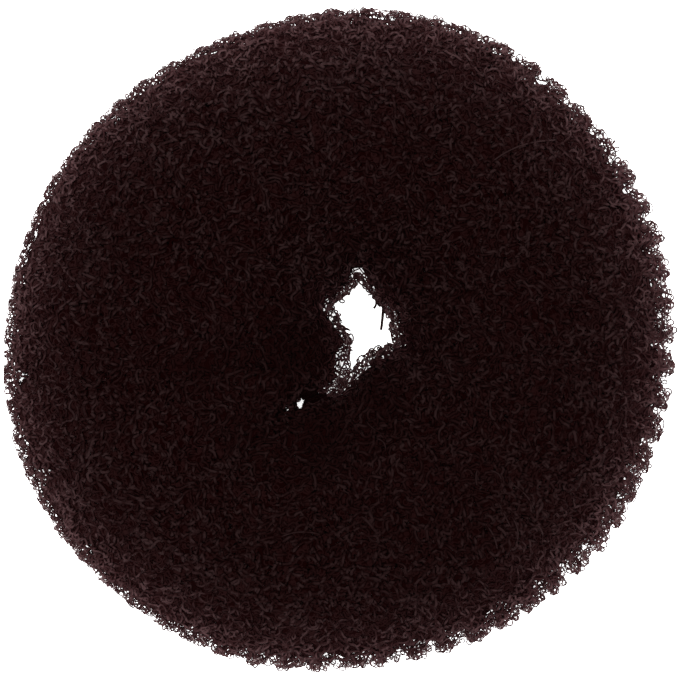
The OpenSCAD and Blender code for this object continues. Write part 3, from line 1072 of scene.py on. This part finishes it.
def mix_colors(tree, factor, first, second):
    """A Mix node for colours; each input is a colour or the socket that gives it."""
    node = tree.nodes.new("ShaderNodeMix")
    node.data_type = "RGBA"
    for label, value in (("Factor_Float", factor), ("A_Color", first), ("B_Color", second)):
        slot = next(socket for socket in node.inputs if socket.identifier == label)
        if isinstance(value, bpy.types.NodeSocket):
            tree.links.new(value, slot)
        else:
            slot.default_value = value
    return next(socket for socket in node.outputs if socket.identifier == "Result_Color")


# %% The shared nylon tone
PATCHES_PER_METRE = 170.0
# The patches multiply how light a strand is by this least number, and by so much more at the most
PATCH_LEAST, PATCH_RANGE = 0.4, 1.2
# In the painted shade the strands are all nearly this one dark tone, up to such a share of it
PAINTED_SHADE_COLOR, PAINTED_SHADE_SHARE = (0.0028, 0.0006, 0.0006, 1), 0.9


def nylon_tone_group():
    """Dark to light by Lift, which patches of noise raise and lower; then painted backlight and painted
    shade.
    """
    group, given, result = new_group(
        "nylon_tone",
        [("Vector", "NodeSocketVector", None), ("Lift", "NodeSocketFloat", 0.5),
         ("Dark", "NodeSocketColor", None), ("Light", "NodeSocketColor", None),
         ("Backlit dark", "NodeSocketColor", None), ("Backlit light", "NodeSocketColor", None),
         ("Painted shade", "NodeSocketFloat", 0.0), ("Painted backlight", "NodeSocketFloat", 0.0)],
        [("Color", "NodeSocketColor")])
    noise = group.nodes.new("ShaderNodeTexNoise")
    noise.inputs["Scale"].default_value = PATCHES_PER_METRE
    noise.inputs["Detail"].default_value = 3
    group.links.new(given.outputs["Vector"], noise.inputs["Vector"])
    patchy = value_node(group, "MULTIPLY_ADD", noise.outputs["Fac"], PATCH_RANGE, PATCH_LEAST)
    lift = value_node(group, "MULTIPLY", given.outputs["Lift"], patchy, clamp=True)
    tone = mix_colors(group, lift, given.outputs["Dark"], given.outputs["Light"])
    # Painted backlight: paler, redder colours where the net is thin and the floor shines through
    backlit = mix_colors(group, lift, given.outputs["Backlit dark"], given.outputs["Backlit light"])
    color = mix_colors(group, given.outputs["Painted backlight"], tone, backlit)
    # Painted shade: the creases, the slit and the right and lower parts go nearly to one dark tone
    shaded = value_node(group, "MULTIPLY", given.outputs["Painted shade"], PAINTED_SHADE_SHARE)
    color = mix_colors(group, shaded, color, PAINTED_SHADE_COLOR)
    group.links.new(color, result.inputs["Color"])
    return group


nylon_tone = nylon_tone_group()
print(nylon_tone.name, "group,", len(nylon_tone.nodes), "nodes")

# %% [markdown]
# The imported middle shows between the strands, so it needs curls of its own. Points strewn in space,
# each with a shell round it at its own distance, cut a surface in rings of many sizes: that is a
# Voronoi texture, read not for its cells but for the places where the distance is just so. Two or
# three such layers over each other look like a tangle.

# %% Curls drawn on a surface
# A drawn ring's radius is the given one times this least number, or up to so much more
RADIUS_LEAST, RADIUS_RANGE = 0.45, 0.9


def drawn_curls_group():
    """Rings where the distance to the nearest strewn point is near a random radius, as a round bead."""
    group, given, result = new_group(
        "drawn_curls",
        [("Vector", "NodeSocketVector", None), ("Curls per metre", "NodeSocketFloat", 900.0),
         ("Start", "NodeSocketFloat", 0.0), ("Radius", "NodeSocketFloat", 0.42),
         ("Half width", "NodeSocketFloat", 0.13)],
        [("Height", "NodeSocketFloat")])
    moved = group.nodes.new("ShaderNodeVectorMath")
    moved.operation = "ADD"
    group.links.new(given.outputs["Vector"], moved.inputs[0])
    group.links.new(given.outputs["Start"], moved.inputs[1])
    cells = group.nodes.new("ShaderNodeTexVoronoi")
    group.links.new(moved.outputs[0], cells.inputs["Vector"])
    group.links.new(given.outputs["Curls per metre"], cells.inputs["Scale"])
    own = value_node(group, "MULTIPLY_ADD", cells.outputs["Color"], RADIUS_RANGE, RADIUS_LEAST)
    radius = value_node(group, "MULTIPLY", own, given.outputs["Radius"])
    off = value_node(group, "SUBTRACT", cells.outputs["Distance"], radius)
    off = value_node(group, "DIVIDE", off, given.outputs["Half width"])
    square = value_node(group, "MULTIPLY", off, off)
    bead = value_node(group, "SUBTRACT", 1.0, square, clamp=True)
    group.links.new(value_node(group, "SQRT", bead), result.inputs["Height"])
    return group


drawn_curls = drawn_curls_group()
print(drawn_curls.name, "group,", len(drawn_curls.nodes), "nodes")

# %% [markdown]
# ## The finish
#
# Crimped nylon is dark brown, almost black, with a soft shine along each strand. Real nylon mirrors
# about four hundredths of the light, but a strand this thin shows only a faint grey edge from above,
# so the specular level is low. Strands sunk in the tangle are painted darker than those that stand
# out of it: that darkening is painted shade.

# %% What the nylon materials share
def read_value(tree, name):
    """The number of that name which the mesh keeps on its points."""
    node = tree.nodes.new("ShaderNodeAttribute")
    node.attribute_name = name
    return node.outputs["Fac"]


def nylon_material(name, colors, specular):
    """A Principled material whose colour comes from the shared tone, by four colours: dark and light
    where the net is thick, then dark and light for the painted backlight where it is thin.

    Returns it and what is linked to later: its tree, tone and shader, and the object's coordinates.
    """
    material = bpy.data.materials.new(name)
    material.use_nodes = True
    tree = material.node_tree
    shader = tree.nodes["Principled BSDF"]
    shader.inputs["Specular IOR Level"].default_value = specular
    tone = tree.nodes.new("ShaderNodeGroup")
    tone.node_tree = nylon_tone
    coordinates = tree.nodes.new("ShaderNodeTexCoord")
    tree.links.new(coordinates.outputs["Object"], tone.inputs["Vector"])
    for label, color in zip(("Dark", "Light", "Backlit dark", "Backlit light"), colors):
        tone.inputs[label].default_value = (*color, 1)
    tree.links.new(read_value(tree, "net_painted_shade"), tone.inputs["Painted shade"])
    tree.links.new(read_value(tree, "net_painted_backlight"), tone.inputs["Painted backlight"])
    tree.links.new(tone.outputs["Color"], shader.inputs["Base Color"])
    return material, tree, tone, shader, coordinates.outputs["Object"]


# %% [markdown]
# The strands are nearly all that shows. A strand is painted darker the deeper it lies, as painted
# shade, and has a tone of its own that changes along it. Where the crimp bends it towards the light it
# flashes,
# and the straight beside it stays dark: painted glints, noise a millimetre wide, stand for that, and
# finer noise makes its shine streaky. The crimp could be modelled too, but it is finer than a pixel of
# the photo.

# %% The strands' finish
GLINTS_PER_METRE, STREAKS_PER_METRE = 1100.0, 1500.0
# How fast the painted shade darkens a strand with depth: the power of how shallow it lies
SHALLOW_POWER = 1.6
# How sharply the painted glints end. Then what each of these is at the least, and how much more at the
# most: the number that the painted glints multiply the lightness by, the same for a strand's own tone,
# and the roughness. Last, how much rougher the net is in the painted shade.
GLINT_SHARPNESS = 5.5
GLINT_LEAST, GLINT_RANGE, TONE_LEAST, TONE_RANGE = 0.1, 1.4, 0.35, 0.9
ROUGH_LEAST, ROUGH_RANGE, ROUGH_IN_SHADE = 0.5, 0.3, 0.4


def crimped_nylon():
    """Strands: painted darker the deeper they lie, with painted glints, their own tone and streaky
    roughness.
    """
    material, tree, tone, shader, coordinates = nylon_material(
        "crimped_nylon", ((0.0032, 0.0006, 0.0006), (0.0074, 0.0033, 0.0033),
                          (0.0200, 0.0072, 0.0078), (0.0570, 0.0290, 0.0305)), 0.012)
    # Painted shade: the deeper a strand lies, the darker its colour
    shallow = value_node(tree, "SUBTRACT", 1.0, read_value(tree, "strand_depth"))
    shallow = value_node(tree, "POWER", shallow, SHALLOW_POWER)
    own = value_node(tree, "MULTIPLY_ADD", read_value(tree, "strand_tone"), TONE_RANGE, TONE_LEAST)
    # Painted glints: noise a millimetre wide lights the bends of the crimp in the colour
    glints = tree.nodes.new("ShaderNodeTexNoise")
    glints.inputs["Scale"].default_value = GLINTS_PER_METRE
    glints.inputs["Detail"].default_value = 1
    tree.links.new(coordinates, glints.inputs["Vector"])
    glint = value_node(tree, "MULTIPLY_ADD", glints.outputs["Fac"], GLINT_SHARPNESS,
                       0.5 - GLINT_SHARPNESS / 2, clamp=True)
    glint = value_node(tree, "MULTIPLY_ADD", glint, GLINT_RANGE, GLINT_LEAST)
    lift = value_node(tree, "MULTIPLY", shallow, value_node(tree, "MULTIPLY", own, glint))
    tree.links.new(lift, tone.inputs["Lift"])
    streaks = tree.nodes.new("ShaderNodeTexNoise")
    streaks.inputs["Scale"].default_value = STREAKS_PER_METRE
    tree.links.new(coordinates, streaks.inputs["Vector"])
    rough = value_node(tree, "MULTIPLY_ADD", streaks.outputs["Fac"], ROUGH_RANGE, ROUGH_LEAST)
    shaded = read_value(tree, "net_painted_shade")
    rough = value_node(tree, "MULTIPLY_ADD", shaded, ROUGH_IN_SHADE, rough, clamp=True)
    tree.links.new(rough, shader.inputs["Roughness"])
    return material


strand_finish = crimped_nylon()
print(strand_finish.name, "for", len(strand_pieces), "pieces")

# %% [markdown]
# Fuzz is the same yarn come apart. A single filament is so fine that light goes through it. A shader
# that lets light through would need many more samples to come out clean, so the fuzz is simply pale,
# and its filaments differ in tone.

# %% The fuzz's finish
def fine_nylon():
    """Fuzz: pale filaments, each with its own tone."""
    material, tree, tone, shader, _ = nylon_material(
        "fine_nylon", ((0.0300, 0.0180, 0.0180), (0.1000, 0.0700, 0.0700),
                       (0.0600, 0.0380, 0.0380), (0.2000, 0.1500, 0.1500)), 0.05)
    shader.inputs["Roughness"].default_value = 0.6
    tree.links.new(read_value(tree, "strand_tone"), tone.inputs["Lift"])
    return material


fuzz_finish = fine_nylon()
print(fuzz_finish.name, "for", fuzz_piece.name)

# %% [markdown]
# The imported middle shows only as the dark ground between the strands, and as the wall of the slit.
# Three layers of drawn curls, each lower and finer than the one before, give it its relief, and its
# colour as painted light and shade: lighter on the curls' tops, darker in the gaps and on the lower
# layers. Its browns are darker than the strands', which paints the shade deep in the tangle. Real
# strands would double the mesh for what nobody can tell apart.

# %% The imported middle's finish
# Columns: curls per metre, where the layer starts, and how high it lies, where 1 is the highest; the
# lower layers are also painted darker, as painted shade
CURL_LAYERS = ((820.0, 0.0, 1.0), (900.0, 0.31, 0.8), (980.0, 0.67, 0.6))
# How high the drawn curls seem to stand, in mm
RELIEF = 0.2


def packed_nylon():
    """The middle: layers of drawn curls, the highest one showing, as bump and as painted light and
    shade.
    """
    material, tree, tone, shader, coordinates = nylon_material(
        "packed_nylon", ((0.0022, 0.0003, 0.0003), (0.0056, 0.0018, 0.0018),
                         (0.0130, 0.0040, 0.0043), (0.0280, 0.0115, 0.0120)), 0.0)
    shader.inputs["Roughness"].default_value = 0.8
    height = None
    for per_metre, start, share in CURL_LAYERS:
        curls_node = tree.nodes.new("ShaderNodeGroup")
        curls_node.node_tree = drawn_curls
        curls_node.inputs["Curls per metre"].default_value = per_metre
        curls_node.inputs["Start"].default_value = start
        tree.links.new(coordinates, curls_node.inputs["Vector"])
        layer = value_node(tree, "MULTIPLY", curls_node.outputs["Height"], share)
        height = layer if height is None else value_node(tree, "MAXIMUM", height, layer)
    # Painted light and shade: the curls' tops lighter, the gaps and the lower layers darker
    tree.links.new(height, tone.inputs["Lift"])
    bump = tree.nodes.new("ShaderNodeBump")
    bump.inputs["Distance"].default_value = RELIEF * MM
    tree.links.new(height, bump.inputs["Height"])
    tree.links.new(bump.outputs["Normal"], shader.inputs["Normal"])
    return material


core_finish = packed_nylon()
print(core_finish.name, "with", len(CURL_LAYERS), "layers of drawn curls")

# %% [markdown]
# ## Dressing the frame
#
# The net is one knitted tube, so every piece rides on the one body. The packed middle takes the place
# of the CAD solid.

# %% Dressing the frame
for piece in strand_pieces + [fuzz_piece]:
    piece.data.materials.append(fuzz_finish if piece is fuzz_piece else strand_finish)
    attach(piece, "root")
core.data.materials.append(core_finish)
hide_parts("net_ring")
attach(core, "root")
print("dressed:", len(strand_pieces) + 2, "pieces")

# %% [markdown]
# ## Floor, light and camera
#
# The ring lies on white, with no shadow to speak of. A sheet lit by lamps alone would come out grey
# beside such a dark net, or the net too light, so the floor gives off some light of its own.

# %% The white floor
FLOOR_HALF = 1.5
floor_corners = [(-FLOOR_HALF, -FLOOR_HALF, 0), (FLOOR_HALF, -FLOOR_HALF, 0),
                 (FLOOR_HALF, FLOOR_HALF, 0), (-FLOOR_HALF, FLOOR_HALF, 0)]
floor_mesh = bpy.data.meshes.new("floor")
floor_mesh.from_pydata(floor_corners, [], [(0, 1, 2, 3)])
floor = bpy.data.objects.new("floor", floor_mesh)
bpy.context.scene.collection.objects.link(floor)
white = bpy.data.materials.new("white_floor")
white.use_nodes = True
white_inputs = white.node_tree.nodes["Principled BSDF"].inputs
white_inputs["Base Color"].default_value = (0.9, 0.9, 0.9, 1)
white_inputs["Roughness"].default_value = 0.9
white_inputs["Emission Color"].default_value = (1, 1, 1, 1)
white_inputs["Emission Strength"].default_value = 0.7
floor.data.materials.append(white)
print("floor, m across:", 2 * FLOOR_HALF)

# %% [markdown]
# The light comes from nearly straight overhead and is wide enough for soft edges: the tops of the curls
# shine and everything between them goes dark, all round the ring alike. A bright even room fills the
# rest, so that the hole doesn't go black.

# %% The light
sun = bpy.data.lights.new("overhead", "SUN")
sun.energy = 8.0
sun.angle = math.radians(9)
sun_object = bpy.data.objects.new("overhead", sun)
bpy.context.scene.collection.objects.link(sun_object)
sun_object.rotation_euler = (math.radians(-1), math.radians(-1), 0)

world = bpy.data.worlds.new("studio")
bpy.context.scene.world = world
world.use_nodes = True
room = world.node_tree.nodes["Background"].inputs
room["Color"].default_value = (1, 1, 1, 1)
room["Strength"].default_value = 0.6
print("sun", sun.energy, "and room", room["Strength"].default_value)

# %% [markdown]
# The camera looks straight down from well above. Its lens is worked out so that the ring's outline, at
# half its height, comes out as wide as in the photo.

# %% The camera
SENSOR = 36.0
PHOTO_PIXELS, RING_PIXELS = 680, 669
CAMERA_HEIGHT = 0.7
# How far the ring's middle lies left of the photo's middle and above it, in pixels
PIXELS_LEFT, PIXELS_UP = 1.5, 1.0
camera_data = bpy.data.cameras.new("camera")
camera = bpy.data.objects.new("camera", camera_data)
bpy.context.scene.collection.objects.link(camera)
view_width = ring_size[0] * MM * PHOTO_PIXELS / RING_PIXELS
pixel_width = view_width / PHOTO_PIXELS
camera_data.sensor_width = SENSOR
camera_data.lens = SENSOR * (CAMERA_HEIGHT - HEIGHT * MM / 2) / view_width
camera.location = (PIXELS_LEFT * pixel_width, -PIXELS_UP * pixel_width, CAMERA_HEIGHT)
bpy.context.scene.camera = camera
bpy.context.scene.view_settings.view_transform = "Standard"
print("lens, mm:", round(camera_data.lens, 1))
